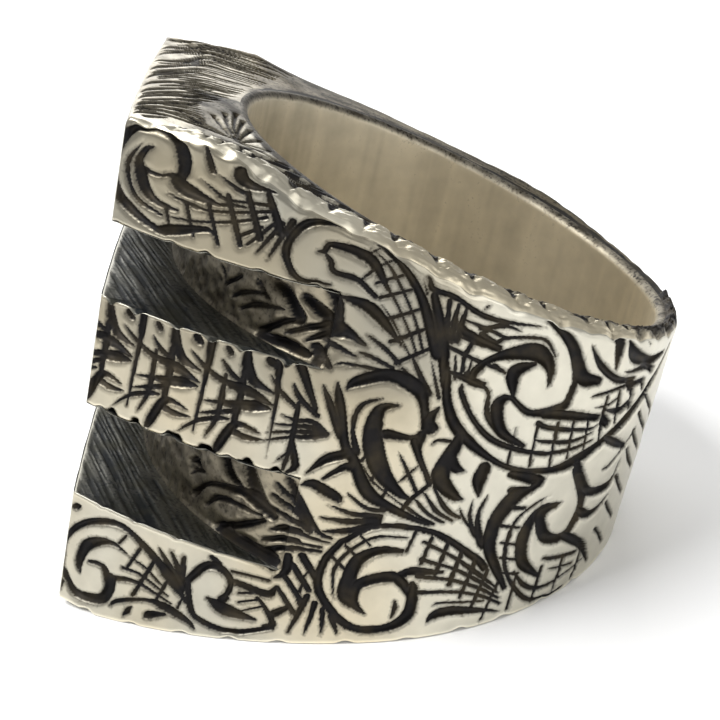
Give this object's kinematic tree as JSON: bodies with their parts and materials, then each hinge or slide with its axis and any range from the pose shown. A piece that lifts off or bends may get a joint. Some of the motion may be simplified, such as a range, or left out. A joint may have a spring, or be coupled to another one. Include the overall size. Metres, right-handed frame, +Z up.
{
  "type": "letter ring",
  "caption": "Heavy one-piece silver finger ring with a tapered shank and a head shaped as a deep block capital letter, covered in raised scrolls and leaves.",
  "frame": {"origin": "centre of the bounding box, on the surface the ring lies on", "axes": "+Z up, with the finger bore leaning 13.2 degrees from +Z towards +Y; letter face towards -Y and the open side of the letter towards +X"},
  "size_m": [0.0248, 0.0286, 0.0216],
  "materials": {
    "silver": "polished silver relief with darkened recesses"
  },
  "bodies": {
    "root": {"letter_ring": "silver"}
  },
  "joints": []
}
